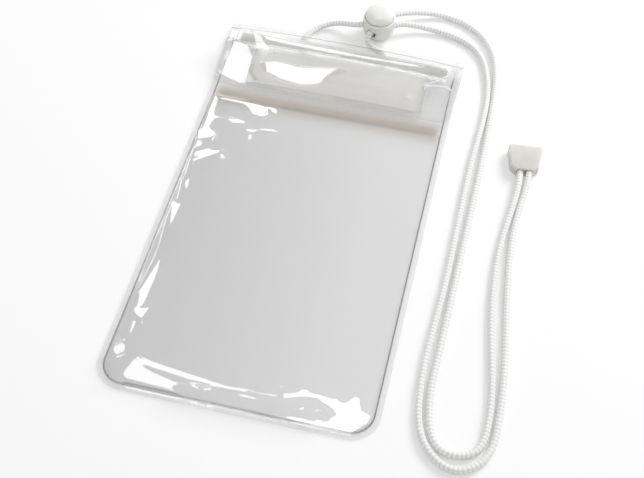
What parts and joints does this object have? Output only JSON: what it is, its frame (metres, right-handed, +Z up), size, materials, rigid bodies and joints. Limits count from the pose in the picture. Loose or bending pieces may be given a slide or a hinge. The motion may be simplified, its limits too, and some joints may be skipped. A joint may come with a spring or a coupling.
{
  "type": "waterproof phone case",
  "caption": "Clear film pouch for a phone, closed by a fold-over flap with hook-and-loop and a zip, on a looped neck cord with a ball lock and an end clip.",
  "frame": {"origin": "on the surface that the pouch lies on, under the middle of the pouch without its cord", "axes": "+X across the pouch, +Y along it towards the flap's top edge, +Z up out of its front"},
  "size_m": [0.1829, 0.2835, 0.0186],
  "materials": {
    "clear_film": "clear soft PVC film, glossy",
    "zip_profile": "clear extruded profile",
    "hook_and_loop": "milky nylon tape",
    "cord": "white knitted polyester",
    "lock_plastic": "milky polypropylene, satin",
    "clip_plastic": "moulded, satin",
    "spring_wire": "bright drawn wire"
  },
  "bodies": {
    "case": {"back_panel": "clear_film", "front_panel": "clear_film", "closure_flap": "clear_film", "cord_strap": "clear_film", "zip_profile_back": "zip_profile", "zip_profile_front": "zip_profile", "loop_strip": "hook_and_loop", "hook_strip": "hook_and_loop", "neck_cord": "cord", "lock_body": "lock_plastic", "lock_spring": "spring_wire", "clip_base": "clip_plastic", "clip_cover": "clip_plastic"},
    "button": {"lock_button": "lock_plastic"}
  },
  "joints": [
    {"name": "button_press", "type": "slide", "parent": "case", "child": "button", "axis": [0, 0, -1], "range_m": [0, 0.003], "stiffness_N_per_m": 900, "springref_m": -0.0015, "deforming": ["lock_spring"]}
  ]
}
